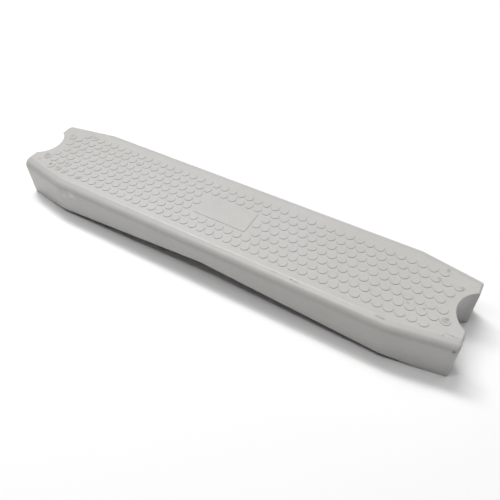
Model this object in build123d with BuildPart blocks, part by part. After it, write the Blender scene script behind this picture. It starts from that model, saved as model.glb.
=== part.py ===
"""Moulded plastic tread of a pool ladder, with the captive nuts and washers for its two rail bolts.

Frame: +X along the tread from rail to rail, +Y to the back, +Z up. The origin is on the ground plane
under the middle of the tread, where its four feet stand. All sizes are in millimetres and degrees.
"""

from math import cos, hypot, radians, sin, tan
import os

from build123d import *

# ---- Driving dimensions: the ladder that the tread fits ------------------------------------------------
rail_spacing = 508.0  # centre to centre of the two rails
rail_diameter = 48.3  # outside diameter of a rail tube
rail_clearance = 0.25  # radial gap between a rail and its seat
bolt_clearance_diameter = 9.0  # hole for an M8 or 5/16 in rail bolt

# ---- Driving dimensions: the tread body ---------------------------------------------------------------
end_setback = 10.0  # from a rail's centre line back to the tread's end face
tread_width = 101.6  # across the skirt's lower rim
tread_height = 43.95  # from the feet to the studded field
taper_length = 58.5  # length of each narrowing end
taper_inset = 10.3  # how far each flank has moved in at the end face
arch_rise = 19.6  # height of the skirt's rim at mid-span
bend_rise = 5.6  # height of the skirt's rim where the ends begin to narrow
foot_length = 17.0  # level part of the rim at each end
draft_angle = 1.0  # mould draft of every outer wall
bevel_width = 3.0  # shallow band between the field and the rounded edge
bevel_angle = 20.0  # slope of that band
edge_radius = 8.0  # rounding of the long top edges
end_radius = 3.0  # rounding of the top edge at each end
corner_radius = 2.5  # rounding of the four upright corners

# ---- Driving dimensions: walls and ribs ---------------------------------------------------------------
roof_thickness = 3.5
wall_thickness = 3.2
seat_thickness = 5.0  # wall behind each rail
rib_thickness = 2.5
rib_recess = 3.0  # how far the ribs stop above the rim
cross_rib_pitch = 42.0
long_rib_pitch = 24.0

# ---- Driving dimensions: studs and label pad -------------------------------------------------------------
stud_pitch = 10.0
stud_diameter = 9.4
stud_height = 0.5
stud_rows_each_side = 3  # rows in front of, and behind, the middle row
stud_edge_margin = 1.6  # least plain band between a stud and the long edge
stud_seat_margin = 4.3  # least plain band between a stud and a rail seat
pad_length = 60.0
pad_width = 28.6
pad_margin = 0.2  # least gap between a stud and the label pad

# ---- Driving dimensions: captive hardware ----------------------------------------------------------------
bolt_height = 21.8  # bolt axis above the feet
bolt_wall = 8.0  # plastic between a rail and its washer
nut_across_flats = 13.0
nut_thickness = 6.8
nut_thread_diameter = 6.7
nut_countersink = 0.6
washer_diameter = 16.0
washer_hole_diameter = 8.4
washer_thickness = 1.6
trap_side_clearance = 0.15  # each side of the nut and of the washer
trap_end_clearance = 0.2  # along the bolt, behind the nut
boss_wall = 3.0  # plastic around the nut trap

# ---- Driving dimensions: how the forms are made -------------------------------------------------------
least_radius = 0.5  # smallest rounding left on an inner surface
stud_root = 1.0  # how deep a stud reaches into the roof
open_depth = 20.0  # how far the hollow is carried below the feet, to open it
upright_share = 0.9  # an edge is upright when this much of its direction is vertical

# ---- Worked-out places ---------------------------------------------------------------------------------
rail_x = rail_spacing / 2
seat_radius = rail_diameter / 2 + rail_clearance
end_x = rail_x - end_setback
bend_x = end_x - taper_length
foot_x = end_x - foot_length
half_width = tread_width / 2
seat_bottom_x = rail_x - seat_radius
reach = 2 * end_x  # longer than the tread, for cuts that pass right through
long_rib_rows = (-long_rib_pitch, 0.0, long_rib_pitch)
washer_face_x = seat_bottom_x - bolt_wall
nut_face_x = washer_face_x - washer_thickness
trap_back_x = nut_face_x - nut_thickness - trap_end_clearance
boss_back_x = trap_back_x - boss_wall
washer_slot_half = washer_diameter / 2 + trap_side_clearance
nut_slot_half = nut_across_flats / 2 + trap_side_clearance
nut_corner_radius = nut_across_flats / 2 / cos(radians(30))
nut_slot_top = nut_corner_radius + trap_side_clearance
tip_slot_top = bolt_clearance_diameter / 2
boss_foot_z = bolt_height - washer_diameter / 2 - boss_wall
boss_length = rail_x - boss_back_x
boss_middle_x = (rail_x + boss_back_x) / 2


def flank_planes(inset):
    """One upright plane across each of the six flanks, with local x pointing outwards and local y up.

    Each plane's origin lies on the flank's foot line, moved in by the inset.
    """
    planes = []
    for side in (-1, 1):
        for end in (-1, 0, 1):
            outward = Vector(end * taper_inset, side * taper_length, 0).normalized()
            foot = Vector(end * bend_x, side * half_width, 0) - outward * inset
            planes.append(Plane(origin=foot, x_dir=outward, z_dir=outward.cross(Vector(0, 0, 1))))
    return planes


def tread_form(wall, roof, rim):
    """The tread's outer form (wall and roof 0), or with a wall and a roof the form of its hollow.

    It is the side view carried across the tread, cut back to each flank's section carried along the
    flank. The section is a drafted wall, the edge rounding, the shallow bevel and the flat top. The rim
    is the side view's lower line, from the left end to the right end.
    """
    top = tread_height - roof
    lean = tan(radians(draft_angle))
    end_foot_x = end_x - wall
    end_rounding = max(end_radius - wall, least_radius)
    edge_rounding = max(edge_radius - wall, least_radius)
    slope = radians(bevel_angle)
    arc_z = top - bevel_width * tan(slope) - edge_rounding * cos(slope)
    wall_top_z = arc_z + edge_rounding * sin(radians(draft_angle))
    arc_x = -wall_top_z * lean - edge_rounding * cos(radians(draft_angle))
    half_turn = radians(45)
    bevel_foot = (arc_x + edge_rounding * sin(slope), arc_z + edge_rounding * cos(slope))
    arc_middle = (arc_x + edge_rounding * cos(half_turn), arc_z + edge_rounding * sin(half_turn))
    lowest = min(z for _, z in rim)
    with BuildPart() as form:
        with BuildSketch(Plane.XZ):
            with BuildLine():
                Polyline(*rim)
                FilletPolyline(
                    rim[-1],
                    (end_foot_x - top * lean, top),
                    (-end_foot_x + top * lean, top),
                    rim[0],
                    radius=end_rounding,
                )
            make_face()
        extrude(amount=tread_width, both=True)
        for plane in flank_planes(wall):
            with BuildSketch(plane):
                with BuildLine():
                    Line((-lowest * lean, lowest), (-wall_top_z * lean, wall_top_z))
                    ThreePointArc((-wall_top_z * lean, wall_top_z), arc_middle, bevel_foot)
                    Polyline(
                        bevel_foot,
                        (bevel_foot[0] - bevel_width, top),
                        (-reach, top),
                        (-reach, lowest),
                        (-lowest * lean, lowest),
                    )
                make_face()
            extrude(amount=reach, both=True, mode=Mode.INTERSECT)
    return form.part


def skirt_rim(lift):
    """The skirt's rim in the side view, from the left end to the right end, raised by the lift."""
    left_half = [(-end_x, 0), (-foot_x, 0), (-bend_x, bend_rise), (0, arch_rise)]
    right_half = [(-x, z) for x, z in reversed(left_half[:-1])]
    return [(x, z + lift) for x, z in left_half + right_half]


def open_rim(wall):
    """The hollow's lower line: level, a little below the feet, so that the hollow is open underneath."""
    x = end_x - wall + open_depth * tan(radians(draft_angle))
    return [(-x, -open_depth), (x, -open_depth)]


def flank_crease_y(x):
    """Distance from the middle to the crease where the flat field meets the bevel, at a place x."""
    lean = tan(radians(draft_angle))
    slope = radians(bevel_angle)
    arc_z = tread_height - bevel_width * tan(slope) - edge_radius * cos(slope)
    rounding = edge_radius * (cos(radians(draft_angle)) - sin(slope)) + arc_z * lean
    narrowing = max(abs(x) - bend_x, 0) * taper_inset / taper_length
    return half_width - rounding - bevel_width - narrowing


def stud_fits(x, y):
    """Whether a stud at this place keeps its margins to the long edges, the rail seats and the pad."""
    stud_radius = stud_diameter / 2
    clear_of_edge = abs(y) + stud_radius + stud_edge_margin <= flank_crease_y(x)
    clear_of_seat = hypot(rail_x - abs(x), y) >= seat_radius + stud_radius + stud_seat_margin
    beyond_pad_x = abs(x) - stud_radius - pad_margin >= pad_length / 2
    beyond_pad_y = abs(y) - stud_radius - pad_margin >= pad_width / 2
    return clear_of_edge and clear_of_seat and (beyond_pad_x or beyond_pad_y)


def stud_places():
    """Centres of all studs: rows one pitch apart, every second row moved along by half a pitch."""
    places = []
    for row in range(-stud_rows_each_side, stud_rows_each_side + 1):
        shift = stud_pitch / 2 if row % 2 == 0 else 0
        most = int(end_x / stud_pitch)
        for column in range(-most - 1, most + 1):
            x, y = column * stud_pitch + shift, row * stud_pitch
            if abs(x) < end_x and stud_fits(x, y):
                places.append((x, y))
    return places


# ---- Forms that the body is made from ----------------------------------------------------------------
outer_form = tread_form(0, 0, skirt_rim(0))
hollow_form = tread_form(wall_thickness, roof_thickness, open_rim(wall_thickness))
upright_corners = [
    edge
    for edge in outer_form.edges().filter_by(GeomType.LINE)
    if abs(edge.tangent_at(0.5).Z) > upright_share and abs(edge.center().X) > foot_x
]
outer_form = fillet(upright_corners, corner_radius)

# Stiffening ribs: three along the tread, and cross ribs up to the wall behind each nut trap.
rib_tie_x = boss_back_x + boss_wall / 2
cross_ribs_each_side = int((boss_back_x - rib_thickness) / cross_rib_pitch)
cross_rib_places = [i * cross_rib_pitch for i in range(-cross_ribs_each_side, cross_ribs_each_side + 1)]
with BuildPart() as ribs:
    with BuildSketch(Plane.XY):
        with Locations(*[(0, y) for y in long_rib_rows]):
            Rectangle(2 * end_x, rib_thickness)
        with Locations(*[(x, 0) for x in cross_rib_places]):
            Rectangle(rib_thickness, tread_width)
        with Locations((-rib_tie_x, 0), (rib_tie_x, 0)):
            Rectangle(boss_wall, tread_width)
    extrude(amount=tread_height)
    with BuildSketch(Plane.XZ):
        with BuildLine():
            Polyline(*skirt_rim(rib_recess))
            Polyline(
                (end_x, rib_recess), (end_x, -open_depth), (-end_x, -open_depth), (-end_x, rib_recess)
            )
        make_face()
    extrude(amount=tread_width, both=True, mode=Mode.SUBTRACT)
    add(hollow_form, mode=Mode.INTERSECT)

# Wall behind each rail and the block that holds the nut trap, trimmed to the outer form.
with BuildPart() as seat_blocks:
    with BuildSketch(Plane.XY):
        with Locations((-rail_x, 0), (rail_x, 0)):
            Circle(seat_radius + seat_thickness)
    extrude(amount=tread_height)
    with BuildSketch(Plane.XY.offset(boss_foot_z)):
        with Locations((-boss_middle_x, 0), (boss_middle_x, 0)):
            Rectangle(boss_length, 2 * (washer_slot_half + boss_wall))
    extrude(amount=tread_height - boss_foot_z)
    add(outer_form, mode=Mode.INTERSECT)

# ---- Tread body ----------------------------------------------------------------------------------------
with BuildPart() as tread_body:
    add(outer_form)
    add(hollow_form, mode=Mode.SUBTRACT)
    add(ribs.part)
    add(seat_blocks.part)
    # Raised studs and the blank label pad.
    with BuildSketch(Plane.XY.offset(tread_height - stud_root)):
        with Locations(*stud_places()):
            Circle(stud_diameter / 2)
        Rectangle(pad_length, pad_width)
    extrude(amount=stud_root + stud_height)
    # Rail seats, right through from top to bottom.
    with BuildSketch(Plane.XY.offset(-open_depth)):
        with Locations((-rail_x, 0), (rail_x, 0)):
            Circle(seat_radius)
    extrude(amount=2 * tread_height, mode=Mode.SUBTRACT)
    # Each nut trap: slots for the washer, the nut and the bolt's tip, all open below, and the bolt hole.
    for end in (-1, 1):
        inward = Vector(-end, 0, 0)
        washer_plane = Plane(origin=(end * washer_face_x, 0, bolt_height), x_dir=(0, 1, 0), z_dir=inward)
        nut_plane = washer_plane.offset(washer_thickness)
        down = -1 if washer_plane.y_dir.Z > 0 else 1
        with BuildSketch(washer_plane):
            Circle(washer_slot_half)
            with Locations((0, down * bolt_height / 2)):
                Rectangle(2 * washer_slot_half, bolt_height)
        extrude(amount=washer_thickness, mode=Mode.SUBTRACT)
        with BuildSketch(nut_plane):
            with Locations((0, down * (bolt_height - nut_slot_top) / 2)):
                Rectangle(2 * nut_slot_half, bolt_height + nut_slot_top)
        extrude(amount=nut_thickness + trap_end_clearance, mode=Mode.SUBTRACT)
        with BuildSketch(nut_plane.offset(nut_thickness + trap_end_clearance)):
            with Locations((0, down * (bolt_height - tip_slot_top) / 2)):
                Rectangle(bolt_clearance_diameter, bolt_height + tip_slot_top)
        extrude(amount=boss_wall + rib_thickness, mode=Mode.SUBTRACT)
        with BuildSketch(washer_plane.offset(-2 * bolt_wall)):
            Circle(bolt_clearance_diameter / 2)
        extrude(amount=2 * bolt_wall + washer_thickness, mode=Mode.SUBTRACT)
tread_body.part.label = "tread_body"

os.makedirs("parts", exist_ok=True)
export_step(tread_body.part, "parts/tread_body.step")

# ---- Captive hardware, one set at each end -------------------------------------------------------------
for end, side_name in ((-1, "left"), (1, "right")):
    inward = Vector(-end, 0, 0)
    seat_plane = Plane(origin=(end * washer_face_x, 0, bolt_height), x_dir=(0, 1, 0), z_dir=inward)

    with BuildPart() as washer:
        with BuildSketch(seat_plane):
            Circle(washer_diameter / 2)
            Circle(washer_hole_diameter / 2, mode=Mode.SUBTRACT)
        extrude(amount=washer_thickness)
    washer.part.label = f"washer_{side_name}"
    export_step(washer.part, f"parts/washer_{side_name}.step")

    with BuildPart() as nut:
        with BuildSketch(seat_plane.offset(washer_thickness)):
            RegularPolygon(radius=nut_corner_radius, side_count=6, rotation=30)
            Circle(nut_thread_diameter / 2, mode=Mode.SUBTRACT)
        extrude(amount=nut_thickness)
        mouths = nut.edges().filter_by(GeomType.CIRCLE)
        chamfer(mouths, length=nut_countersink)
    nut.part.label = f"nut_{side_name}"
    export_step(nut.part, f"parts/nut_{side_name}.step")
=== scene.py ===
"""Looks of a moulded plastic pool-ladder tread: its skin, studs, ribs, nut traps and hardware.

Shapes are worked out in millimetres in the part's own frame: +X along the tread, +Y to the back, +Z up,
with the origin on the ground under the middle. They become metres when they are put into a mesh.
"""

import logging
import math
from dataclasses import dataclass, field
from enum import Enum
from typing import Any, Callable, Optional

import bmesh
import bpy
import numpy as np
from mathutils import Matrix, Vector


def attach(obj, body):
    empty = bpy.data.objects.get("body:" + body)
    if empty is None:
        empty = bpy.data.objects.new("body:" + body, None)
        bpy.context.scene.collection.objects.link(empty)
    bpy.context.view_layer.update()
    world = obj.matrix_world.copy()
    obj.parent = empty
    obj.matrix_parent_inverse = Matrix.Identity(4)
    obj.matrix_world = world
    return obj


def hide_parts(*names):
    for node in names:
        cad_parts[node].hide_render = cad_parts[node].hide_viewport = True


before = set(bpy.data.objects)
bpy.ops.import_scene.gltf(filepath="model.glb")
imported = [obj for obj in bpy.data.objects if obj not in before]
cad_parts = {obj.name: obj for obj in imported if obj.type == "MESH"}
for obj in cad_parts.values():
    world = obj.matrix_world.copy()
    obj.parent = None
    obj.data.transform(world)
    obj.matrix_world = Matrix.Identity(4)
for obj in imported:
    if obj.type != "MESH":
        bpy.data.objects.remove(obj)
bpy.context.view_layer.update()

log = logging.getLogger("tread")

MM = 0.001  # metres in a millimetre
MERGE = 2e-6  # metres within which two vertices become one
SLIVER = 1e-7  # metres below which an edge counts as having no length
OVERRUN = 0.01  # mm that one cutter reaches into the next
BODY = "root"
WHITE = (1.0, 1.0, 1.0, 1.0)

Piece = bpy.types.Object
Socket = bpy.types.NodeSocket
Colour = tuple[float, float, float, float]
Point = tuple[float, float, float]
Mesh = tuple[np.ndarray, list[np.ndarray]]  # vertices (n, 3) in mm, and blocks of faces of one length
RadiusRule = Callable[[np.ndarray, np.ndarray, np.ndarray], np.ndarray]


class Slot(Enum):
    """The record's material slots."""

    PLASTIC = "tread_plastic"
    STEEL = "stainless"


class Joining(Enum):
    """How one solid is combined with another."""

    ADD = "UNION"
    CUT = "DIFFERENCE"


# ---- Grids and meshes -----------------------------------------------------------------------------------
def grid_quads(rows: int, cols: int, wrap: bool = False) -> np.ndarray:
    """Faces of a grid whose vertex (i, j) is numbered i * cols + j.

    Args:
        rows: number of rows of vertices.
        cols: number of vertices in a row.
        wrap: whether each row closes on itself.

    Returns:
        Quads as an (m, 4) array: (i, j), (i, j+1), (i+1, j+1), (i+1, j).
    """
    i = np.arange(rows - 1)[:, None] * cols
    j = np.arange(cols if wrap else cols - 1)[None, :]
    k = (j + 1) % cols
    quads = np.stack([i + j, i + k, i + cols + k, i + cols + j], axis=-1)
    return quads.reshape(-1, 4)


def join(parts: list[Mesh]) -> Mesh:
    """Puts several meshes into one, each with its faces renumbered by the vertices before it.

    Args:
        parts: the meshes.

    Returns:
        One mesh with all vertices and all face blocks.
    """
    blocks: list[np.ndarray] = []
    start = 0
    for points, faces in parts:
        blocks += [block + start for block in faces]
        start += len(points)
    return np.concatenate([points for points, _ in parts]), blocks


def swept_ring(loops: np.ndarray, capped: bool = True) -> Mesh:
    """A tube of closed loops: loop k joins loop k + 1, and the first and the last are closed by a face.

    Args:
        loops: (k, n, 3) points, k loops of n points each.
        capped: whether the two ends are closed.

    Returns:
        The mesh.
    """
    count, size = loops.shape[:2]
    faces = [grid_quads(count, size, wrap=True)]
    if capped:
        ends = np.stack([np.arange(size)[::-1], np.arange(size) + (count - 1) * size])
        faces.append(ends)
    return loops.reshape(-1, 3), faces


def turned(profile: np.ndarray, axis_z: float, steps: int, radius_of: Optional[RadiusRule] = None) -> Mesh:
    """A closed profile (x, radius) turned about a line along X at height axis_z.

    A point at angle a is (x, r cos a, axis_z + r sin a), with r the profile's radius, or what
    radius_of makes of the radius and the angle.

    Args:
        profile: (n, 2) closed profile of x and radius.
        axis_z: height of the line.
        steps: number of places round the turn.
        radius_of: optional function of (x, radius, angle) that gives the radius.

    Returns:
        The mesh, closed both ways.
    """
    angle = np.arange(steps)[:, None] * 2 * math.pi / steps
    x = np.broadcast_to(profile[None, :, 0], (steps, len(profile)))
    radius = np.broadcast_to(profile[None, :, 1], (steps, len(profile)))
    if radius_of is not None:
        radius = radius_of(x, radius, angle)
    loops = np.stack([x, radius * np.cos(angle), axis_z + radius * np.sin(angle)], axis=-1)
    closed = np.concatenate([loops, loops[:1]])
    return swept_ring(closed, capped=False)


def new_object(name: str, mesh: Mesh, smooth_angle: float) -> Piece:
    """A finished mesh object: doubles merged, faces turned outwards, and edges sharp past an angle.

    Args:
        name: the piece's name.
        mesh: vertices in mm and face blocks.
        smooth_angle: degrees between two faces up to which their edge looks rounded.

    Returns:
        The object, at the origin, unturned and unscaled.
    """
    points, blocks = mesh
    data = bpy.data.meshes.new(name)
    data.from_pydata((points * MM).tolist(), [], [face for block in blocks for face in block.tolist()])
    shape = bmesh.new()
    shape.from_mesh(data)
    bmesh.ops.remove_doubles(shape, verts=shape.verts, dist=MERGE)
    bmesh.ops.dissolve_degenerate(shape, edges=shape.edges, dist=SLIVER)
    bmesh.ops.recalc_face_normals(shape, faces=shape.faces)
    shape.to_mesh(data)
    shape.free()
    data.shade_smooth()
    data.set_sharp_from_angle(angle=math.radians(smooth_angle))
    made = bpy.data.objects.new(name, data)
    bpy.context.scene.collection.objects.link(made)
    return made


def combine(target: Piece, other: Piece, how: Joining, smooth_angle: float) -> None:
    """Cuts one solid out of another, or adds it, and removes the other.

    Args:
        target: the solid that is kept and changed.
        other: the solid that is used up.
        how: whether the other is cut out or added.
        smooth_angle: degrees up to which the result's edges look rounded.
    """
    step = target.modifiers.new("combine", "BOOLEAN")
    step.operation = how.value
    step.solver = "EXACT"
    step.object = other
    bpy.context.view_layer.update()
    shown = target.evaluated_get(bpy.context.evaluated_depsgraph_get())
    result = bpy.data.meshes.new_from_object(shown)
    target.modifiers.remove(step)
    before = target.data
    target.data = result
    bpy.data.meshes.remove(before)
    bpy.data.objects.remove(other)
    result.name = target.name
    result.shade_smooth()
    result.set_sharp_from_angle(angle=math.radians(smooth_angle))


# ---- Shape of the tread ---------------------------------------------------------------------------------
@dataclass(frozen=True)
class TreadSize:
    """Sizes of the moulded tread, in mm and degrees."""

    rail_x: float = 254.0
    seat_radius: float = 24.4
    end_x: float = 244.0
    bend_x: float = 185.5
    foot_x: float = 227.0
    half_width: float = 50.8
    height: float = 43.95
    taper_inset: float = 10.3
    taper_length: float = 58.5
    arch_rise: float = 19.6
    bend_rise: float = 5.6
    draft: float = 1.0
    bevel_width: float = 3.0
    bevel_slope: float = 20.0
    edge_radius: float = 8.0
    end_radius: float = 2.6
    seat_edge_radius: float = 0.6
    rim_radius: float = 0.35
    crease_guard: float = 0.8
    roof: float = 3.5
    wall: float = 3.2
    seat_wall: float = 5.0
    rib_recess: float = 3.0
    roof_grip: float = 0.5
    wall_grip: float = 0.6
    bolt_height: float = 21.8
    bolt_radius: float = 4.5
    washer_face_x: float = 221.6
    boss_back_x: float = 210.0

    @property
    def ceiling(self) -> float:
        """Height up to which ribs and blocks reach, a little way into the roof."""
        return self.height - self.roof + self.roof_grip

    def rim_height(self, x: np.ndarray) -> np.ndarray:
        """Height of the skirt's rim: straight lines through the feet, the bends and the arch's top.

        Args:
            x: places along the tread.

        Returns:
            The rim's height at each place.
        """
        places = [0.0, self.bend_x, self.foot_x, self.end_x]
        return np.interp(np.abs(x), places, [self.arch_rise, self.bend_rise, 0.0, 0.0])

    def lean(self, z: np.ndarray) -> np.ndarray:
        """How far a drafted wall has moved in at a height: z tan(draft)."""
        return z * math.tan(math.radians(self.draft))


@dataclass(frozen=True)
class Section:
    """Section of the outer skin (wall and roof 0) or of the hollow, as inward offsets by height."""

    size: TreadSize
    wall: float = 0.0
    roof: float = 0.0
    seat_wall: float = 0.0
    least_radius: float = 0.5
    least_step: float = 0.012

    @property
    def top(self) -> float:
        """Height of the section's flat top."""
        return self.size.height - self.roof

    @property
    def edge_radius(self) -> float:
        """Rounding of the long edge, smaller inside by the wall's thickness."""
        return max(self.size.edge_radius - self.wall, self.least_radius)

    @property
    def end_radius(self) -> float:
        """Rounding of the end edge, smaller inside by the wall's thickness."""
        return max(self.size.end_radius - self.wall, self.least_radius)

    @property
    def arc_height(self) -> float:
        """Height of the centre of the long edge's rounding."""
        slope = math.radians(self.size.bevel_slope)
        return self.top - self.size.bevel_width * math.tan(slope) - self.edge_radius * math.cos(slope)

    def levels(self) -> np.ndarray:
        """Heights of the loops above the drafted wall, close together round both edges.

        Equal turns of the long edge's arc and of the end edge's arc give a height each, and one more
        guards each crease of the bevel, so that it stays narrow under smooth shading.

        Returns:
            Rising heights, the last one the flat top.
        """
        draft = math.radians(self.size.draft)
        long_turn = np.linspace(draft, math.radians(90 - self.size.bevel_slope), 11)
        end_turn = np.linspace(draft, math.pi / 2, 9)
        long_z = self.arc_height + self.edge_radius * np.sin(long_turn)
        end_z = self.top - self.end_radius * (1 - np.sin(end_turn))
        guard = self.size.crease_guard * math.sin(math.radians(self.size.bevel_slope))
        heights = np.sort(np.concatenate([long_z, end_z, [long_z[-1] + guard, self.top - guard]]))
        apart = np.diff(heights, append=np.inf) > self.least_step
        return heights[apart]

    def flank_offset(self, z: np.ndarray) -> np.ndarray:
        """How far the flank has moved in: drafted wall, then the arc, then the shallow bevel.

        Args:
            z: heights.

        Returns:
            Inward offsets from the foot line.
        """
        draft, slope = math.radians(self.size.draft), math.radians(self.size.bevel_slope)
        radius = self.edge_radius
        wall_top = self.arc_height + radius * math.sin(draft)
        centre = self.size.lean(wall_top) + radius * math.cos(draft)
        above = np.clip(z - self.arc_height, 0, radius * math.cos(slope))
        arc = centre - np.sqrt(radius**2 - above**2)
        bevel_foot = self.arc_height + radius * math.cos(slope)
        bevel = centre - radius * math.sin(slope) + (z - bevel_foot) / math.tan(slope)
        return self.wall + np.where(z < wall_top, self.size.lean(z), np.where(z < bevel_foot, arc, bevel))

    def end_offset(self, z: np.ndarray) -> np.ndarray:
        """How far the end face has moved in: drafted wall, then its rounding.

        Args:
            z: heights.

        Returns:
            Inward offsets from the foot line.
        """
        start = self.top - self.end_radius
        above = np.clip(z - start, 0, self.end_radius)
        arc = self.size.lean(start) + self.end_radius - np.sqrt(self.end_radius**2 - above**2)
        return self.wall + np.where(z < start, self.size.lean(z), arc)

    def seat_radius(self, z: np.ndarray) -> np.ndarray:
        """Radius of the rail seat, a little larger at the very top where its edge is rounded.

        Args:
            z: heights.

        Returns:
            The seat's radius at each height.
        """
        edge = self.size.seat_edge_radius
        above = np.clip(z - (self.top - edge), 0, edge)
        return self.size.seat_radius + self.seat_wall + edge - np.sqrt(edge**2 - above**2)


@dataclass(frozen=True)
class PlanLoop:
    """Plan outline of the tread at given offsets: flanks, rounded corners, end faces, horns, rail seats."""

    size: TreadSize
    corner_radius: float = 2.6
    horn_radius: float = 0.9
    midway: float = 0.29
    flank_steps: int = 56
    taper_steps: int = 20
    corner_steps: int = 8
    face_steps: int = 8
    horn_steps: int = 4
    seat_steps: int = 24

    @property
    def quarter_steps(self) -> int:
        """Number of steps from the middle of a flank to the deepest point of a rail seat."""
        edge = self.flank_steps + self.taper_steps + self.corner_steps
        return edge + self.face_steps + self.horn_steps + self.seat_steps

    @property
    def corner_index(self) -> int:
        """Index of the middle of the first upright corner."""
        return self.flank_steps + self.taper_steps + self.corner_steps // 2

    def quarter(self, flank: np.ndarray, end: np.ndarray, seat: np.ndarray) -> np.ndarray:
        """One quarter of the outline, x and distance from the middle line, at each point's own offsets.

        In turn: the straight flank, the narrowing flank, the corner arc, the end face, the small arc on
        the horn that touches both the end face and the rail seat's circle, and that circle.

        Args:
            flank: (k, m) inward offsets of the flank.
            end: (k, m) inward offsets of the end face.
            seat: (k, m) radii of the rail seat.

        Returns:
            (k, m, 2) points.
        """
        s = self.size
        turn = math.atan2(s.taper_inset, s.taper_length)
        reach = math.sin(turn) * s.bend_x + math.cos(turn) * s.half_width
        bend_x = s.bend_x - flank * math.tan(turn / 2)
        bend_y = s.half_width - flank
        face_x = s.end_x - end
        corner_y = (reach - flank - math.sin(turn) * face_x) / math.cos(turn)
        radius, horn = self.corner_radius, self.horn_radius
        tangent = radius * math.tan((math.pi / 2 - turn) / 2)
        horn_y = np.sqrt((seat + horn) ** 2 - (s.rail_x - face_x + horn) ** 2)
        swing = np.arctan2(horn_y, s.rail_x - face_x + horn)

        segments = []
        share = np.linspace(0, 1, self.flank_steps + 1)[:-1]
        cut = slice(0, self.flank_steps)
        segments.append((bend_x[:, cut] * share, bend_y[:, cut]))
        share = np.linspace(0, 1, self.taper_steps + 1)[:-1]
        cut = slice(cut.stop, cut.stop + self.taper_steps)
        from_x, from_y = bend_x[:, cut], bend_y[:, cut]
        to_x = face_x[:, cut] - tangent * math.cos(turn)
        to_y = corner_y[:, cut] + tangent * math.sin(turn)
        segments.append((from_x + (to_x - from_x) * share, from_y + (to_y - from_y) * share))
        angle = np.linspace(math.pi / 2 - turn, 0, self.corner_steps + 1)[:-1]
        cut = slice(cut.stop, cut.stop + self.corner_steps)
        centre_x, centre_y = face_x[:, cut] - radius, corner_y[:, cut] - tangent
        segments.append((centre_x + radius * np.cos(angle), centre_y + radius * np.sin(angle)))
        share = np.linspace(0, 1, self.face_steps + 1)[:-1]
        cut = slice(cut.stop, cut.stop + self.face_steps)
        from_y, to_y = corner_y[:, cut] - tangent, horn_y[:, cut]
        segments.append((face_x[:, cut], from_y + (to_y - from_y) * share))
        share = np.linspace(0, 1, self.horn_steps + 1)[:-1]
        cut = slice(cut.stop, cut.stop + self.horn_steps)
        angle = swing[:, cut] * share
        centre_x, centre_y = face_x[:, cut] - horn, horn_y[:, cut]
        segments.append((centre_x + horn * np.cos(angle), centre_y - horn * np.sin(angle)))
        share = np.linspace(1, 0, self.seat_steps + 1)
        cut = slice(cut.stop, cut.stop + self.seat_steps + 1)
        angle = swing[:, cut] * share
        segments.append((s.rail_x - seat[:, cut] * np.cos(angle), seat[:, cut] * np.sin(angle)))
        x = np.concatenate([a for a, _ in segments], axis=1)
        y = np.concatenate([np.broadcast_to(b, a.shape) for a, b in segments], axis=1)
        return np.stack([x, y], axis=-1)

    def full(self, quarter: np.ndarray, z: np.ndarray) -> np.ndarray:
        """The whole loop from one quarter: front right, back right, back left and front left in turn.

        Args:
            quarter: (k, m, 2) quarter outlines.
            z: (k, m) heights.

        Returns:
            (k, 4 (m - 1), 3) closed loops, seen anticlockwise from above.
        """
        x, y = quarter[..., 0], quarter[..., 1]
        front_right = np.stack([x, -y, z], axis=-1)
        back_right = np.stack([x, y, z], axis=-1)[:, ::-1]
        back_left = np.stack([-x, y, z], axis=-1)
        front_left = np.stack([-x, -y, z], axis=-1)[:, ::-1]
        parts = [front_right[:, :-1], back_right[:, :-1], back_left[:, :-1], front_left[:, :-1]]
        return np.concatenate(parts, axis=1)

    def skin(self, section: Section, rim_rows: int = 6) -> np.ndarray:
        """All loops of a skin, from its rim up to its flat top.

        The rim's edge is rounded, the drafted wall is divided evenly between the rim and the foot of the
        rounding, and the loops above that are the section's own levels. The last loop guards the crease
        from the flat top's side.

        Args:
            section: the outer skin's section or the hollow's.
            rim_rows: loops on the drafted wall.

        Returns:
            (k, n, 3) loops.
        """
        s = self.size
        points = self.quarter_steps + 1
        flat = np.zeros((1, points))
        inward = flat + section.wall
        first = self.quarter(inward, inward, flat + s.seat_radius + section.seat_wall)
        rim = s.rim_height(first[0, :, 0])
        levels = section.levels()
        share = np.linspace(0, 1, rim_rows + 1)[1:-1, None]
        edge = s.rim_radius
        low = rim + edge * np.array([[0.0], [self.midway], [1.0]])
        wall = low[-1] + (levels[0] - low[-1]) * share
        upper = np.broadcast_to(np.append(levels, levels[-1])[:, None], (len(levels) + 1, points))
        z = np.concatenate([low, wall, upper])
        inwards = np.zeros_like(z)
        inwards[:2] = edge * np.array([[1.0], [self.midway]]) * (1 if section.wall == 0 else -1)
        inwards[-1] = s.crease_guard
        flank = section.flank_offset(z) + inwards
        end = section.end_offset(z) + inwards
        seat = section.seat_radius(z) + inwards
        return self.full(self.quarter(flank, end, seat), z)

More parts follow.
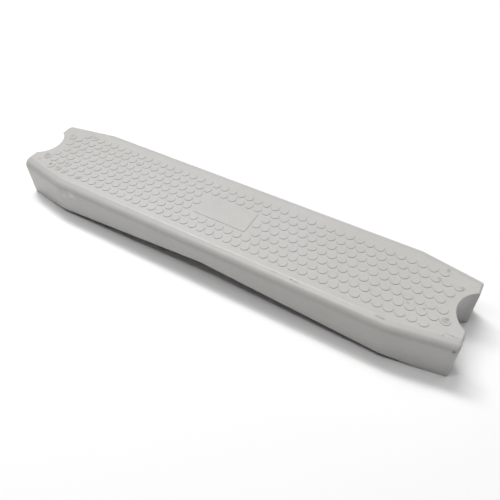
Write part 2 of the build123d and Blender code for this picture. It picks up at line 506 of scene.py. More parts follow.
    def lid(self, loop: np.ndarray) -> Mesh:
        """A flat grid that fills a loop, blended from its four sides.

        The grid is the sum of the blend from the left side to the right and the blend from the front side
        to the back, less the blend of the four corners.

        Args:
            loop: (n, 3) closed loop of this outline.

        Returns:
            The mesh, its border on the loop's own points.
        """
        half, corner = 2 * self.quarter_steps, self.corner_index
        count = len(loop)
        front = loop[np.arange(-corner, corner + 1) % count]
        right = loop[corner : half - corner + 1]
        back = loop[half - corner : half + corner + 1][::-1]
        left = loop[half + corner : count - corner + 1][::-1]
        u = ((front[:, 0] - front[0, 0]) / (front[-1, 0] - front[0, 0]))[:, None, None]
        v = ((right[:, 1] - right[0, 1]) / (right[-1, 1] - right[0, 1]))[None, :, None]
        along = (1 - v) * front[:, None] + v * back[:, None]
        across = (1 - u) * left[None] + u * right[None]
        near = (1 - u) * front[0] + u * front[-1]
        far = (1 - u) * back[0] + u * back[-1]
        grid = along + across - (1 - v) * near - v * far
        return grid.reshape(-1, 3), [grid_quads(len(front), len(right))]


# ---- Finishes -------------------------------------------------------------------------------------------
def linear(value: float) -> float:
    """Linear light of an sRGB value from 0 to 255."""
    share = value / 255
    return share / 12.92 if share <= 0.04045 else ((share + 0.055) / 1.055) ** 2.4


def colour(red: float, green: float, blue: float) -> Colour:
    """Linear colour from sRGB values from 0 to 255."""
    return linear(red), linear(green), linear(blue), 1.0


@dataclass(frozen=True)
class Pattern:
    """A noise in object space: waves per metre, detail and roughness, and the range kept of it."""

    per_metre: float
    detail: float = 2.0
    rough: float = 0.5
    low: float = 0.0
    high: float = 1.0


class NodeBench:
    """Adds nodes to one material and joins them."""

    def __init__(self, name: str) -> None:
        """Makes an empty material with an output and a surface shader."""
        self.material = bpy.data.materials.new(name)
        self.material.use_nodes = True
        self.tree = self.material.node_tree
        self.tree.nodes.clear()
        self.surface = self.add("ShaderNodeBsdfPrincipled")
        output = self.add("ShaderNodeOutputMaterial")
        self.join(self.surface.outputs["BSDF"], output.inputs["Surface"])
        self.place = self.add("ShaderNodeTexCoord").outputs["Object"]

    def add(self, kind: str, inputs: Optional[dict[Any, Any]] = None, **settings: Any) -> bpy.types.Node:
        """Adds one node.

        Args:
            kind: the node's type name.
            inputs: values, or output sockets to join, by input name or number.
            settings: the node's own settings.

        Returns:
            The node.
        """
        node = self.tree.nodes.new(kind)
        for name, value in settings.items():
            setattr(node, name, value)
        for key, value in (inputs or {}).items():
            if isinstance(value, Socket):
                self.join(value, node.inputs[key])
            else:
                node.inputs[key].default_value = value
        return node

    def join(self, source: Socket, target: Socket) -> None:
        """Joins an output to an input."""
        self.tree.links.new(source, target)

    def noise(self, pattern: Pattern, place: Optional[Socket] = None) -> Socket:
        """A pattern's noise from 0 to 1, at the object's own places or at those given."""
        values = {"Vector": self.place if place is None else place, "Scale": pattern.per_metre}
        values |= {"Detail": pattern.detail, "Roughness": pattern.rough}
        return self.add("ShaderNodeTexNoise", values).outputs["Fac"]

    def drift(self, pattern: Pattern, to_low: float, to_high: float) -> Socket:
        """A pattern's noise, its kept range carried to another range."""
        return self.span(self.noise(pattern), pattern.low, pattern.high, to_low, to_high)

    def bump(self, strength: float, depth: float, height: Socket, normal: Optional[Socket] = None) -> Socket:
        """Relief of so many mm from a pattern, on top of an earlier relief if there is one."""
        values = {"Strength": strength, "Distance": depth * MM, "Height": height}
        if normal is not None:
            values["Normal"] = normal
        return self.add("ShaderNodeBump", values).outputs[0]

    def maths(self, how: str, first: Any, second: Any = 0.0) -> Socket:
        """One sum on one or two values or sockets."""
        return self.add("ShaderNodeMath", {0: first, 1: second}, operation=how).outputs[0]

    def span(self, value: Any, low: float, high: float, to_low: float, to_high: float) -> Socket:
        """Carries a value from one range to another, smoothly and kept within it."""
        inputs = {"Value": value, "From Min": low, "From Max": high, "To Min": to_low, "To Max": to_high}
        node = self.add("ShaderNodeMapRange", inputs, interpolation_type="SMOOTHSTEP")
        return node.outputs["Result"]

    def mixed(self, share: Any, first: Any, second: Any) -> Socket:
        """Blends two colours by a share."""
        node = self.add("ShaderNodeMix", {0: share, 6: first, 7: second}, data_type="RGBA")
        return node.outputs[2]


class MarkKind(Enum):
    """What left a mark on the plastic, or a painted sheen."""

    SPECK = "speck"
    GRIME = "grime"
    SCUFF = "scuff"
    PAINTED_SHEEN = "polish"


@dataclass(frozen=True)
class Mark:
    """One worn or dirty place, or a patch of painted sheen: a soft ellipsoid in which the mark shows through
    a grain or a cloud.
    """

    kind: MarkKind
    middle: Point
    reach: Point
    strength: float


STUD_TOP = 44.45  # mm, height of the studs' tops
BEVEL_Z = 43.5  # mm, height halfway up the bevel
HORN_Z = 43.6  # mm, height of the plain field beside the left seat
MARK_ROWS: dict[MarkKind, tuple[tuple[Point, Point, float], ...]] = {
    MarkKind.SPECK: (
        ((-211.2, -29.6, STUD_TOP), (3.2, 2.4, 2.2), 1.0),
        ((226.0, -18.0, STUD_TOP), (2.6, 2.2, 2.0), 0.8),
        ((227.5, -34.0, BEVEL_Z), (2.0, 1.3, 1.6), 0.7),
        ((95.6, -43.2, BEVEL_Z), (1.9, 1.0, 1.5), 1.0),
    ),
    MarkKind.GRIME: (
        ((-226.2, -19.4, STUD_TOP), (5.0, 5.0, 2.5), 0.55),
        ((-199.7, -30.0, STUD_TOP), (3.6, 3.0, 2.5), 0.6),
        ((-195.1, -20.1, STUD_TOP), (3.5, 3.0, 2.5), 0.5),
        ((-188.8, -31.4, STUD_TOP), (3.0, 2.5, 2.5), 0.5),
        ((-168.2, -31.8, STUD_TOP), (4.0, 2.5, 2.5), 0.55),
        ((-226.5, 21.3, STUD_TOP), (4.5, 4.0, 2.5), 0.4),
        ((-199.5, 30.5, STUD_TOP), (3.5, 3.0, 2.5), 0.4),
        ((-124.9, 18.1, STUD_TOP), (3.5, 2.5, 2.5), 0.4),
        ((-229.7, -28.5, HORN_Z), (4.0, 3.0, 2.0), 0.3),
        ((225.0, -20.0, STUD_TOP), (5.0, 4.6, 2.5), 0.45),
        ((212.5, 33.5, STUD_TOP), (2.4, 3.4, 2.5), 0.55),
        ((228.4, 19.5, STUD_TOP), (4.0, 3.0, 2.5), 0.4),
        ((192.3, -17.3, STUD_TOP), (2.4, 2.0, 2.0), 0.5),
        ((206.4, -16.9, STUD_TOP), (2.4, 2.0, 2.0), 0.5),
        ((208.1, 20.5, STUD_TOP), (3.0, 2.2, 2.0), 0.45),
    ),
    MarkKind.SCUFF: (
        ((234.0, -31.4, BEVEL_Z), (9.0, 1.2, 1.6), 0.6),
        ((100.5, -43.6, BEVEL_Z), (4.5, 1.2, 1.5), 0.6),
        ((78.1, -42.9, BEVEL_Z), (4.0, 1.1, 1.5), 0.45),
        ((178.0, -42.4, BEVEL_Z), (7.0, 1.6, 1.8), 0.6),
        ((239.8, -41.0, 38.2), (2.4, 1.8, 4.6), 1.0),
    ),
    # Painted sheen: soft lighter patches painted into the colour on the front wall near the left end.
    MarkKind.PAINTED_SHEEN: (
        ((-178.0, -50.0, 31.5), (11.0, 6.0, 8.0), 1.0),
        ((-165.0, -50.0, 34.0), (8.0, 5.0, 6.0), 0.8),
    ),
}
MARKS = tuple(Mark(kind, *row) for kind, rows in MARK_ROWS.items() for row in rows)


@dataclass(frozen=True)
class MouldedPlastic:
    """Off-white injection-moulded plastic: satin, finely grained, a little warm, with handling marks and a
    painted sheen.
    """

    name: str = "moulded_plastic"
    pale: Colour = colour(195, 194, 192)
    warm: Colour = colour(193, 191, 187)
    grime: Colour = colour(124, 118, 108)
    scuffed: Colour = colour(120, 114, 110)
    # Colour of the painted sheen, lighter than the plastic.
    painted_sheen_colour: Colour = colour(216, 215, 212)
    gloss: float = 0.31
    refraction: float = 1.49
    tone: Pattern = Pattern(9.0, 3.0, 0.6, 0.35, 0.68)
    blotches: Pattern = Pattern(140.0, 4.0, 0.6, 0.35, 0.75)
    dust: Pattern = Pattern(650.0, 2.0, 0.5, 0.70, 0.80)
    grain: Pattern = Pattern(900.0, 3.0, 0.65, 0.36, 0.58)
    cloud: Pattern = Pattern(110.0, 3.0, 0.6, 0.42, 0.62)
    sheen: Pattern = Pattern(60.0, 3.0, 0.6, 0.3, 0.7)
    fine_relief: Pattern = Pattern(2300.0, 2.0, 0.55)
    swell: Pattern = Pattern(45.0)

    def mark_share(self, bench: NodeBench, kinds: tuple[MarkKind, ...]) -> Socket:
        """How strongly the marks of some kinds show at a place, from 0 to 1.

        Each mark gives strength times (1 - distance from its middle in its own reaches), and the
        strongest one counts.

        Args:
            bench: the material's nodes.
            kinds: which marks to take.

        Returns:
            The share as a socket.
        """
        strongest: Any = 0.0
        for mark in (m for m in MARKS if m.kind in kinds):
            middle = tuple(value * MM for value in mark.middle)
            reach = tuple(value * MM for value in mark.reach)
            away = bench.add("ShaderNodeVectorMath", {0: bench.place, 1: middle}, operation="SUBTRACT")
            scaled = bench.add("ShaderNodeVectorMath", {0: away.outputs[0], 1: reach}, operation="DIVIDE")
            length = bench.add("ShaderNodeVectorMath", {0: scaled.outputs[0]}, operation="LENGTH")
            share = bench.span(length.outputs["Value"], 0.25, 1.0, mark.strength, 0.0)
            strongest = bench.maths("MAXIMUM", strongest, share)
        return strongest

    def build(self) -> bpy.types.Material:
        """Makes the material: drifting tone, fine specks, marks, a painted sheen patch, uneven gloss and
        mould grain.

        Returns:
            The material.
        """
        bench = NodeBench(self.name)
        base = bench.mixed(bench.drift(self.tone, 0.0, 1.0), self.pale, self.warm)
        base = bench.mixed(bench.drift(self.blotches, 0.0, 0.055), base, self.grime)
        base = bench.mixed(bench.drift(self.dust, 0.0, 0.22), base, self.grime)
        grain = bench.drift(self.grain, 0.0, 1.0)
        dirt = self.mark_share(bench, (MarkKind.SPECK, MarkKind.GRIME))
        dirt_shown = bench.maths("MULTIPLY", dirt, bench.span(grain, 0.0, 1.0, 0.35, 1.0))
        base = bench.mixed(dirt_shown, base, self.grime)
        scuff = self.mark_share(bench, (MarkKind.SCUFF,))
        scuff_shown = bench.maths("MULTIPLY", scuff, bench.span(grain, 0.0, 1.0, 0.25, 1.0))
        base = bench.mixed(scuff_shown, base, self.scuffed)
        # Painted sheen: the lighter colour is blended in through a soft cloud; the gloss is not changed
        # there.
        polish = self.mark_share(bench, (MarkKind.PAINTED_SHEEN,))
        painted_sheen_shown = bench.maths("MULTIPLY", polish, bench.drift(self.cloud, 0.0, 1.0))
        base = bench.mixed(painted_sheen_shown, base, self.painted_sheen_colour)
        bench.join(base, bench.surface.inputs["Base Color"])
        gloss = bench.drift(self.sheen, self.gloss - 0.015, self.gloss + 0.02)
        duller = bench.maths("MULTIPLY", bench.maths("MAXIMUM", dirt_shown, scuff_shown), 0.25)
        bench.join(bench.maths("ADD", gloss, duller), bench.surface.inputs["Roughness"])
        bench.surface.inputs["IOR"].default_value = self.refraction
        relief = bench.bump(0.35, 0.03, bench.noise(self.fine_relief))
        wave = bench.bump(0.6, 0.25, bench.noise(self.swell), relief)
        bench.join(wave, bench.surface.inputs["Normal"])
        return bench.material


@dataclass(frozen=True)
class StainlessSteel:
    """Bright turned stainless steel with fine tool lines and slight water stains."""

    name: str = "stainless_steel"
    bright: Colour = colour(196, 194, 190)
    stained: Colour = colour(160, 152, 140)
    gloss: float = 0.3
    stains: Pattern = Pattern(260.0, 4.0, 0.6, 0.5, 0.75)
    tool_lines: Pattern = Pattern(500.0, 2.0, 0.5, 0.3, 0.7)
    line_stretch: Point = (12.0, 1.0, 1.0)

    def build(self) -> bpy.types.Material:
        """Makes the material.

        Returns:
            The material.
        """
        bench = NodeBench(self.name)
        stain = bench.drift(self.stains, 0.0, 0.7)
        bench.join(bench.mixed(stain, self.bright, self.stained), bench.surface.inputs["Base Color"])
        stretch = bench.add("ShaderNodeMapping", {"Vector": bench.place, "Scale": self.line_stretch})
        lines = bench.noise(self.tool_lines, stretch.outputs[0])
        kept = (self.tool_lines.low, self.tool_lines.high)
        gloss = bench.span(lines, *kept, self.gloss - 0.06, self.gloss + 0.1)
        bench.join(gloss, bench.surface.inputs["Roughness"])
        bench.surface.inputs["Metallic"].default_value = 1.0
        bench.join(bench.bump(0.25, 0.02, lines), bench.surface.inputs["Normal"])
        return bench.material


@dataclass(frozen=True)
class PaleFloor:
    """Plain matt white floor."""

    name: str = "pale_floor"
    paint: Colour = (0.97, 0.97, 0.97, 1.0)
    dullness: float = 0.9

    def build(self) -> bpy.types.Material:
        """Makes the material.

        Returns:
            The material.
        """
        bench = NodeBench(self.name)
        bench.surface.inputs["Base Color"].default_value = self.paint
        bench.surface.inputs["Roughness"].default_value = self.dullness
        bench.surface.inputs["Specular IOR Level"].default_value = 0.0
        return bench.material


# ---- Sub-assemblies -------------------------------------------------------------------------------------
@dataclass
class Dresser:
    """Gives each finished piece its finish and its body, and logs its faces."""

    plastic: bpy.types.Material
    steel: bpy.types.Material

    def finish_piece(self, piece: Piece, slot: Slot) -> Piece:
        """Dresses one piece and reports it.

        Args:
            piece: the piece.
            slot: the record's material slot.

        Returns:
            The piece.
        """
        piece.data.materials.clear()
        piece.data.materials.append(self.steel if slot is Slot.STEEL else self.plastic)
        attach(piece, BODY)
        log.info("%s: %d faces", piece.name, len(piece.data.polygons))
        return piece


@dataclass
class TreadShell:
    """The moulded skin: studded roof, flanks, end faces, rail seats, and the hollow inside."""

    size: TreadSize
    inner_corner: float = 1.6
    drill_x: tuple[float, float] = (223.0, 235.0)
    smooth_angle: float = 32.0

    def mesh(self) -> Mesh:
        """The outer skin and the hollow's skin, each with its lid, joined round the rim.

        Returns:
            A closed mesh.
        """
        plan = PlanLoop(self.size)
        inner_plan = PlanLoop(self.size, corner_radius=self.inner_corner)
        outer = plan.skin(Section(self.size))
        hollow = Section(self.size, self.size.wall, self.size.roof, self.size.seat_wall)
        inner = inner_plan.skin(hollow)
        loops = np.concatenate([outer[::-1], inner])
        return join([swept_ring(loops, capped=False), plan.lid(outer[-1]), inner_plan.lid(inner[-1])])

    def build(self, dresser: Dresser) -> Piece:
        """Makes the shell with a bolt hole through each rail seat.

        Args:
            dresser: gives the finish.

        Returns:
            The piece, which stands for the CAD body.
        """
        shell = new_object("tread_shell", self.mesh(), self.smooth_angle)
        for end in (-1, 1):
            combine(shell, bolt_drill(self.size, end, *self.drill_x), Joining.CUT, self.smooth_angle)
        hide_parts("tread_body")
        return dresser.finish_piece(shell, Slot.PLASTIC)


def bolt_drill(size: TreadSize, end: int, from_x: float, to_x: float, steps: int = 48) -> Piece:
    """A round cutter along X on the bolt's line: loops of points (x, r cos a, height + r sin a).

    Args:
        size: sizes of the tread.
        end: -1 for the left end of the tread, 1 for the right.
        from_x: nearer end of the cutter, as a distance from the middle.
        to_x: farther end.
        steps: number of points round the hole.

    Returns:
        The cutter.
    """
    angle = np.arange(steps) * 2 * math.pi / steps
    radius, height = size.bolt_radius, size.bolt_height
    circle = np.stack([radius * np.cos(angle), height + radius * np.sin(angle)], axis=-1)
    return prism("drill", circle, end * from_x, end * to_x)


def prism(name: str, outline: np.ndarray, from_x: float, to_x: float) -> Piece:
    """A closed solid: an outline of (y, z) points carried straight along X.

    Args:
        name: the object's name.
        outline: (n, 2) closed outline.
        from_x: place of one end.
        to_x: place of the other end.

    Returns:
        The solid.
    """
    places = np.array([from_x, to_x])
    x = np.broadcast_to(places[:, None], (2, len(outline)))
    y = np.broadcast_to(outline[None, :, 0], x.shape)
    z = np.broadcast_to(outline[None, :, 1], x.shape)
    return new_object(name, swept_ring(np.stack([x, y, z], axis=-1)), 30.0)


@dataclass
class StudField:
    """The raised round studs and the blank label pad in their midst."""

    size: TreadSize
    pitch: float = 10.0
    radius: float = 4.7
    height: float = 0.5
    rows_each_side: int = 3
    columns_each_side: int = 25
    edge_margin: float = 1.6
    seat_margin: float = 4.3
    pad_half: tuple[float, float] = (30.0, 14.3)
    pad_margin: float = 0.2
    pad_corner: float = 0.7
    root: float = 0.05
    edge_lean: float = 0.05
    stud_edge: tuple[float, float] = (0.2, 0.15)
    pad_edge: tuple[float, float] = (0.22, 0.18)
    sides: int = 24
    pad_corner_points: int = 5

    def crease(self, x: np.ndarray) -> np.ndarray:
        """Distance from the middle line to the field's long edge, less where the ends narrow."""
        section = Section(self.size)
        top = float(section.flank_offset(np.array(section.top)))
        narrowing = np.clip(np.abs(x) - self.size.bend_x, 0, None)
        return self.size.half_width - top - narrowing * self.size.taper_inset / self.size.taper_length

    def places(self) -> np.ndarray:
        """Middles of all studs: a staggered lattice, less those too near an edge, a seat or the pad.

        Returns:
            (n, 2) places.
        """
        rows = np.arange(-self.rows_each_side, self.rows_each_side + 1)
        columns = np.arange(-self.columns_each_side, self.columns_each_side + 1)
        row, column = np.meshgrid(rows, columns, indexing="ij")
        x = (column + np.where(row % 2 == 0, 0.5, 0.0)) * self.pitch
        y = row * self.pitch
        inside = np.abs(y) + self.radius + self.edge_margin <= self.crease(x)
        from_rail = np.hypot(self.size.rail_x - np.abs(x), y)
        clear = from_rail >= self.size.seat_radius + self.radius + self.seat_margin
        reach = self.radius + self.pad_margin
        beyond = (np.abs(x) - reach >= self.pad_half[0]) | (np.abs(y) - reach >= self.pad_half[1])
        kept = inside & clear & beyond & (np.abs(x) < self.size.end_x)
        return np.stack([x[kept], y[kept]], axis=-1)

    def rings(self, edge: tuple[float, float]) -> np.ndarray:
        """Insets and rises of a raised form's rings: root in the roof, foot of the sloped edge, flat top.

        Args:
            edge: how far the sloped edge steps in from the outline, and how far it drops.

        Returns:
            (3, 2) insets and rises.
        """
        inset, drop = edge
        return np.array([[0.0, -self.root], [self.edge_lean, self.height - drop], [inset, self.height]])

    def studs_mesh(self) -> Mesh:
        """All studs: each a low turned disc with a sloped shoulder and a flat top.

        Ring k of a stud at (x, y) is (x + r_k cos a, y + r_k sin a, z_k).

        Returns:
            The mesh.
        """
        rings = self.rings(self.stud_edge) * [-1, 1] + [self.radius, 0]
        angle = np.arange(self.sides) * 2 * math.pi / self.sides
        x = rings[:, :1] * np.cos(angle)
        y = rings[:, :1] * np.sin(angle)
        z = np.broadcast_to(rings[:, 1:] + self.size.height, x.shape)
        stud = np.stack([x, y, z], axis=-1).reshape(-1, 3)
        places = self.places()
        shift = np.concatenate([places, np.zeros((len(places), 1))], axis=1)
        points = (shift[:, None] + stud[None]).reshape(-1, 3)
        starts = (np.arange(len(places)) * len(stud))[:, None, None]
        walls = (grid_quads(len(rings), self.sides, wrap=True)[None] + starts).reshape(-1, 4)
        cap = np.arange(self.sides)[None] + (len(rings) - 1) * self.sides
        base = np.arange(self.sides)[::-1][None]
        caps = np.concatenate([(cap[None] + starts), (base[None] + starts)]).reshape(-1, self.sides)
        return points, [walls, caps]

    def pad_mesh(self) -> Mesh:
        """The label pad: rounded-rectangle rings that rise, step in over the edge and close on a flat top.

        Returns:
            The mesh.
        """
        corner, per_corner = self.pad_corner, self.pad_corner_points
        turn = np.linspace(0, math.pi / 2, per_corner)
        signs = np.array([[1, 1], [-1, 1], [-1, -1], [1, -1]])
        angle = (turn[None] + np.arange(4)[:, None] * math.pi / 2).reshape(-1)
        loops = []
        for inset, rise in self.rings(self.pad_edge):
            half = np.array(self.pad_half) - inset - corner
            middle = np.repeat(signs * half, per_corner, axis=0)
            flat = middle + corner * np.stack([np.cos(angle), np.sin(angle)], axis=-1)
            z = np.full((len(flat), 1), self.size.height + rise)
            loops.append(np.concatenate([flat, z], axis=1))
        return swept_ring(np.stack(loops))

    def build(self, dresser: Dresser) -> list[Piece]:
        """Makes the studs and the pad.

        Args:
            dresser: gives the finish.

        Returns:
            The two pieces.
        """
        studs = new_object("studs", self.studs_mesh(), 44.0)
        pad = new_object("label_pad", self.pad_mesh(), 30.0)
        log.info("%d studs", len(self.places()))
        return [dresser.finish_piece(piece, Slot.PLASTIC) for piece in (studs, pad)]


@dataclass
class RibWork:
    """Stiffening ribs under the roof: three along the tread and a row of cross ribs."""

    size: TreadSize
    root: float = 2.5
    tip: float = 2.0
    long_rows: tuple[float, ...] = (-24.0, 0.0, 24.0)
    cross_pitch: float = 42.0
    cross_each_side: int = 4
    end_grip: float = 1.0
    long_stations: int = 121
    cross_stations: int = 25

    def profile(self, foot: np.ndarray) -> tuple[np.ndarray, np.ndarray]:
        """Half-thicknesses and heights round a rib's section: root, tip, and a rounded foot.

        Args:
            foot: height of the rib's foot at each station.

        Returns:
            Half-thicknesses (k, 7) and heights (k, 7).
        """
        top = self.size.ceiling
        half_root, half_tip = self.root / 2, self.tip / 2
        aside = np.array([-half_root, -half_tip, -0.7 * half_tip, 0, 0.7 * half_tip, half_tip, half_root])
        rise = np.array([np.nan, half_tip, 0.3 * half_tip, 0, 0.3 * half_tip, half_tip, np.nan])
        z = np.where(np.isnan(rise), top, foot[:, None] + np.nan_to_num(rise))
        return np.broadcast_to(aside, z.shape), z

    def long_rib(self, row: float) -> Mesh:
        """One rib along the tread, its foot a little above the rim, its ends inside the seat walls.

        Args:
            row: its distance from the middle line.

        Returns:
            The mesh.
        """
        s = self.size
        wall = s.seat_radius + s.seat_wall
        face = s.boss_back_x if row == 0 else s.rail_x - math.sqrt(wall**2 - row**2)
        last = face + self.end_grip
        kinks = [0.0, s.bend_x, -s.bend_x, s.foot_x, -s.foot_x]
        x = np.unique(np.concatenate([np.linspace(-last, last, self.long_stations), kinks]))
        x = x[np.abs(x) <= last]
        aside, z = self.profile(s.rim_height(x) + s.rib_recess)
        loops = np.stack([np.broadcast_to(x[:, None], z.shape), row + aside, z], axis=-1)
        return swept_ring(loops)

    def cross_rib(self, x: float) -> Mesh:
        """One rib across the tread, its ends a little inside the drafted flanks.

        Args:
            x: its place along the tread.

        Returns:
            The mesh.
        """
        s = self.size
        foot = float(s.rim_height(np.array(x))) + s.rib_recess
        share = np.linspace(-1, 1, self.cross_stations)
        aside, z = self.profile(np.full(len(share), foot))
        reach = s.half_width - s.wall + s.wall_grip - s.lean(z)
        return swept_ring(np.stack([x + aside, reach * share[:, None], z], axis=-1))

    def build(self, dresser: Dresser) -> Piece:
        """Makes all ribs as one piece.

        Args:
            dresser: gives the finish.

        Returns:
            The piece.
        """
        crossings = np.arange(-self.cross_each_side, self.cross_each_side + 1) * self.cross_pitch
        parts = [self.long_rib(row) for row in self.long_rows]
        parts += [self.cross_rib(float(x)) for x in crossings]
        ribs = new_object("ribs", join(parts), 40.0)
        return dresser.finish_piece(ribs, Slot.PLASTIC)


@dataclass
class NutTrap:
    """The block behind one rail seat that holds the nut and the washer, and the wall across behind it."""

    size: TreadSize
    end: int
    side_name: str
    boss_half: float = 11.15
    boss_foot: float = 10.8
    boss_rounding: float = 1.2
    washer_half: float = 8.15
    nut_half: float = 6.65
    nut_top: float = 7.66
    trap_back_x: float = 213.0
    nut_face_x: float = 220.0
    seat_x: float = 226.0
    open_foot: float = -2.0
    smooth_angle: float = 30.0

    def slot_outline(self, half: float, top: float) -> np.ndarray:
        """A slot that is open below: square at the top, given as (y, z) points."""
        low, high = self.open_foot, self.size.bolt_height + top
        return np.array([[-half, low], [half, low], [half, high], [-half, high]])

    def round_slot_outline(self) -> np.ndarray:
        """The washer's slot: a half circle round the bolt's line above a slot that is open below."""
        half, height = self.washer_half, self.size.bolt_height
        turn = np.linspace(0, math.pi, 33)
        arc = np.stack([half * np.cos(turn), height + half * np.sin(turn)], axis=-1)
        return np.concatenate([arc, [[-half, self.open_foot], [half, self.open_foot]]])

    def boss_outline(self) -> np.ndarray:
        """The block's (y, z) outline, a rectangle whose two lower corners are rounded."""
        top, rounding = self.size.ceiling, self.boss_rounding
        turn = np.linspace(math.pi, 1.5 * math.pi, 6)
        left_y = -self.boss_half + rounding + rounding * np.cos(turn)
        left_z = self.boss_foot + rounding + rounding * np.sin(turn)
        left = np.stack([left_y, left_z], axis=-1)
        right = (left * [-1, 1])[::-1]
        return np.concatenate([[[-self.boss_half, top]], left, right, [[self.boss_half, top]]])

    def wall_mesh(self) -> Mesh:
        """The tie wall: levels of a rectangle whose sides follow the drafted, narrowing flanks.

        Returns:
            The mesh.
        """
        s = self.size
        middle_x = (s.boss_back_x + self.trap_back_x) / 2
        foot = float(s.rim_height(np.array(middle_x))) + s.rib_recess
        turn = math.atan2(s.taper_inset, s.taper_length)
        z = np.linspace(foot, s.ceiling, 9)
        x = np.array([s.boss_back_x, self.trap_back_x, self.trap_back_x, s.boss_back_x])
        side = np.array([-1, -1, 1, 1])
        reach = s.half_width - (x - s.bend_x) * math.tan(turn) - s.wall / math.cos(turn) + s.wall_grip
        y = side * (reach - s.lean(z)[:, None])
        places, heights = np.broadcast_arrays(self.end * x, z[:, None])
        return swept_ring(np.stack([places, y, heights], axis=-1))

    def build(self, dresser: Dresser) -> Piece:
        """Makes the block and its wall, then cuts the slots and the bolt hole.

        Args:
            dresser: gives the finish.

        Returns:
            The piece.
        """
        s, end, angle = self.size, self.end, self.smooth_angle
        name = f"nut_trap_{self.side_name}"
        trap = prism(name, self.boss_outline(), end * s.boss_back_x, end * self.seat_x)
        combine(trap, new_object("tie_wall", self.wall_mesh(), angle), Joining.ADD, angle)
        nut_slot = self.slot_outline(self.nut_half, self.nut_top)
        tip_slot = self.slot_outline(s.bolt_radius, s.bolt_radius)
        cutters = (
            (self.round_slot_outline(), self.nut_face_x, s.washer_face_x),
            (nut_slot, self.trap_back_x, self.nut_face_x + OVERRUN),
            (tip_slot, s.boss_back_x - 1, self.trap_back_x + OVERRUN),
        )
        for outline, from_x, to_x in cutters:
            combine(trap, prism("cutter", outline, end * from_x, end * to_x), Joining.CUT, angle)
        combine(trap, bolt_drill(s, end, self.nut_face_x + 0.5, self.seat_x + 2), Joining.CUT, angle)
        return dresser.finish_piece(trap, Slot.PLASTIC)


@dataclass
class Hardware:
    """The lock nut and washer that wait in one trap."""

    size: TreadSize
    end: int
    side_name: str
    washer_thickness: float = 1.6
    washer_radius: float = 8.0
    washer_hole: float = 4.2
    washer_edge: float = 0.3
    burr: float = 0.1
    nut_half: float = 6.5
    nut_thickness: float = 6.8
    bore: float = 3.35
    pitch: float = 1.25
    thread_depth: float = 0.55
    countersink: float = 0.6
    chamfer: float = 0.25

    def washer_mesh(self) -> Mesh:
        """A stamped washer: its outer edge is rounded on the side it was stamped from.

        Returns:
            The mesh.
        """
        near, hole, burr = self.size.washer_face_x, self.washer_hole, self.burr
        far, edge = near - self.washer_thickness, self.washer_edge
        turn = np.linspace(0, math.pi / 2, 5)
        rounded_x = far + edge - edge * np.sin(turn)
        rounded_r = self.washer_radius - edge + edge * np.cos(turn)
        outer = np.stack([rounded_x, rounded_r], axis=-1)
        inner = np.array([[far, hole + burr], [far + burr, hole], [near - burr, hole]])
        faces = np.array([[near, hole + burr], [near, self.washer_radius - burr]])
        rim = np.array([[near - burr, self.washer_radius]])
        return turned(np.concatenate([outer, inner, faces, rim]), self.size.bolt_height, 64)

    def nut_mesh(self) -> Mesh:
        """A hexagon nut with chamfered corners and a threaded bore.

        Outside, the radius is the hexagon's, w / cos(a), a the angle from the nearest flat's middle, or the
        chamfer's cone where that is less. Inside, it is the bore's radius plus a triangle wave in
        x / pitch - angle / 2 pi, which is a thread, and the countersink's cone where that is more.

        Returns:
            The mesh.
        """
        near = self.size.washer_face_x - self.washer_thickness
        far = near - self.nut_thickness
        depth = np.array([0.0, 0.15, 0.35, 0.55, 0.8])
        outer_x = np.concatenate([near - depth, np.linspace(near - 1.6, far + 1.6, 5), (far + depth)[::-1]])
        bore_x = np.linspace(far, near, 56)
        outside = 100.0  # stands for the hexagon in the profile
        outer = np.stack([outer_x, np.full(len(outer_x), outside)], axis=-1)
        inner = np.stack([bore_x, np.full(len(bore_x), self.bore)], axis=-1)

        def radius_of(x: np.ndarray, radius: np.ndarray, angle: np.ndarray) -> np.ndarray:
            """Radius of the nut's skin at a place along it and an angle round it."""
            sixth = math.pi / 3
            from_flat = np.mod(angle + sixth / 2, sixth) - sixth / 2
            hexagon = self.nut_half / np.cos(from_flat)
            from_face = np.minimum(near - x, x - far)
            cone = self.nut_half - self.chamfer + from_face * math.tan(math.radians(60))
            wave = np.abs(np.mod(x / self.pitch - angle / (2 * math.pi), 1.0) - 0.5) * 2
            thread = self.bore + self.thread_depth * wave
            sunk = self.bore + self.countersink - from_face
            return np.where(radius == outside, np.minimum(hexagon, cone), np.maximum(thread, sunk))

        return turned(np.concatenate([outer, inner]), self.size.bolt_height, 96, radius_of)

    def build(self, dresser: Dresser) -> list[Piece]:
        """Makes the nut and the washer in place of the plain ones.

        Args:
            dresser: gives the finish.

        Returns:
            The two pieces.
        """
        pieces = []
        for kind, mesh in (("nut", self.nut_mesh()), ("washer", self.washer_mesh())):
            points, faces = mesh
            piece = new_object(f"steel_{kind}_{self.side_name}", (points * [self.end, 1, 1], faces), 28.0)
            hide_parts(f"{kind}_{self.side_name}")
            pieces.append(dresser.finish_piece(piece, Slot.STEEL))
        return pieces


# ---- Studio ---------------------------------------------------------------------------------------------
def aim(azimuth: float, elevation: float) -> Vector:
    """Direction out from the tread: degrees from the front towards the right, and above the floor."""
    turn, rise = math.radians(azimuth), math.radians(elevation)
    return Vector((math.cos(rise) * math.sin(turn), -math.cos(rise) * math.cos(turn), math.sin(rise)))


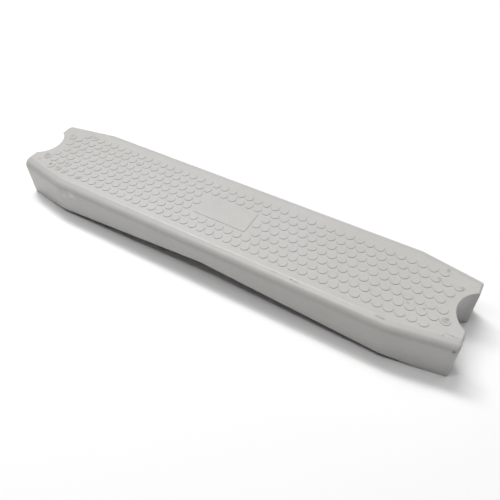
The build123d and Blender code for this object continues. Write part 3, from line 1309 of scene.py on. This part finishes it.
@dataclass
class Softbox:
    """One soft light that faces the middle of the tread, its long side along the tread."""

    name: str
    azimuth: float
    elevation: float
    distance: float
    width: float
    height: float
    watts: float

    def build(self) -> None:
        """Places the light at its distance, turned to face the tread."""
        way = aim(self.azimuth, self.elevation)
        along = (Vector((1, 0, 0)) - way * way.x).normalized()
        lamp = bpy.data.lights.new(self.name, "AREA")
        lamp.shape = "RECTANGLE"
        lamp.size = self.width
        lamp.size_y = self.height
        lamp.energy = self.watts
        holder = bpy.data.objects.new(self.name, lamp)
        facing = Matrix((along, way.cross(along), way)).transposed().to_4x4()
        holder.matrix_world = Matrix.Translation(way * self.distance) @ facing
        bpy.context.scene.collection.objects.link(holder)


@dataclass
class Studio:
    """Camera, pale floor and soft lights."""

    eye: Point = (212.5, -295.6, 396.3)
    azimuth: float = 32.13
    elevation: float = 48.45
    roll: float = -2.157
    lens: float = 36.5
    sky: float = 0.02
    backdrop: float = 0.95
    floor_half: float = 1600.0
    floor_drop: float = 0.05
    lights: list[Softbox] = field(
        default_factory=lambda: [
            Softbox("rear_key", -127.0, 63.5, 2.6, 1.5, 0.55, 36.5),
            Softbox("rear_strip", -132.0, 65.0, 2.5, 1.7, 0.08, 10.5),
            Softbox("front_strip", -48.0, 67.0, 2.5, 1.2, 0.06, 7.0),
            Softbox("left_fill", -50.0, 50.0, 2.6, 1.4, 1.4, 3.5),
            Softbox("back_fill", 150.0, 55.0, 2.6, 1.4, 1.4, 9.0),
            Softbox("overhead", 0.0, 85.0, 2.6, 1.4, 1.4, 16.0),
        ]
    )

    def camera(self) -> None:
        """Places the camera by its eye point and the two angles of its line of sight, then rolls it."""
        back = aim(self.azimuth, self.elevation)
        data = bpy.data.cameras.new("camera")
        data.lens = self.lens
        data.sensor_width = 36.0
        data.clip_start = 0.01
        view = bpy.data.objects.new("camera", data)
        facing = back.to_track_quat("Z", "Y").to_matrix().to_4x4()
        spin = Matrix.Rotation(math.radians(self.roll), 4, "Z")
        view.matrix_world = Matrix.Translation(Vector(self.eye) * MM) @ facing @ spin
        bpy.context.scene.collection.objects.link(view)
        bpy.context.scene.camera = view

    def floor(self) -> None:
        """Lays the floor, a flat grid a hair below the feet."""
        side = np.linspace(-self.floor_half, self.floor_half, 3)
        x, y = np.meshgrid(side, side, indexing="ij")
        points = np.stack([x, y, np.full_like(x, -self.floor_drop)], axis=-1).reshape(-1, 3)
        data = bpy.data.meshes.new("floor")
        data.from_pydata((points * MM).tolist(), [], grid_quads(3, 3).tolist())
        data.materials.append(PaleFloor().build())
        floor = bpy.data.objects.new("floor", data)
        bpy.context.scene.collection.objects.link(floor)

    def surroundings(self) -> None:
        """Sets a sky that gives little light but is seen as a pale backdrop beyond the floor."""
        world = bpy.data.worlds.new("sky")
        world.use_nodes = True
        nodes, links = world.node_tree.nodes, world.node_tree.links
        choice = nodes.new("ShaderNodeMixShader")
        seen = nodes.new("ShaderNodeLightPath")
        links.new(seen.outputs["Is Camera Ray"], choice.inputs[0])
        sources = (nodes["Background"], nodes.new("ShaderNodeBackground"))
        for i, (source, strength) in enumerate(zip(sources, (self.sky, self.backdrop)), start=1):
            source.inputs["Color"].default_value = WHITE
            source.inputs["Strength"].default_value = strength
            links.new(source.outputs[0], choice.inputs[i])
        links.new(choice.outputs[0], nodes["World Output"].inputs["Surface"])
        bpy.context.scene.world = world

    def build(self) -> None:
        """Sets up the whole studio."""
        self.camera()
        self.floor()
        for light in self.lights:
            light.build()
        self.surroundings()
        bpy.context.scene.view_settings.view_transform = "Standard"
        bpy.context.scene.view_settings.look = "None"


def main() -> None:
    """Builds the studio and then every sub-assembly of the tread."""
    logging.basicConfig(level=logging.INFO, format="%(name)s %(message)s")
    Studio().build()
    size = TreadSize()
    dresser = Dresser(MouldedPlastic().build(), StainlessSteel().build())
    TreadShell(size).build(dresser)
    StudField(size).build(dresser)
    RibWork(size).build(dresser)
    for end, side_name in ((-1, "left"), (1, "right")):
        NutTrap(size, end, side_name).build(dresser)
        Hardware(size, end, side_name).build(dresser)


if __name__ == "__main__":
    main()
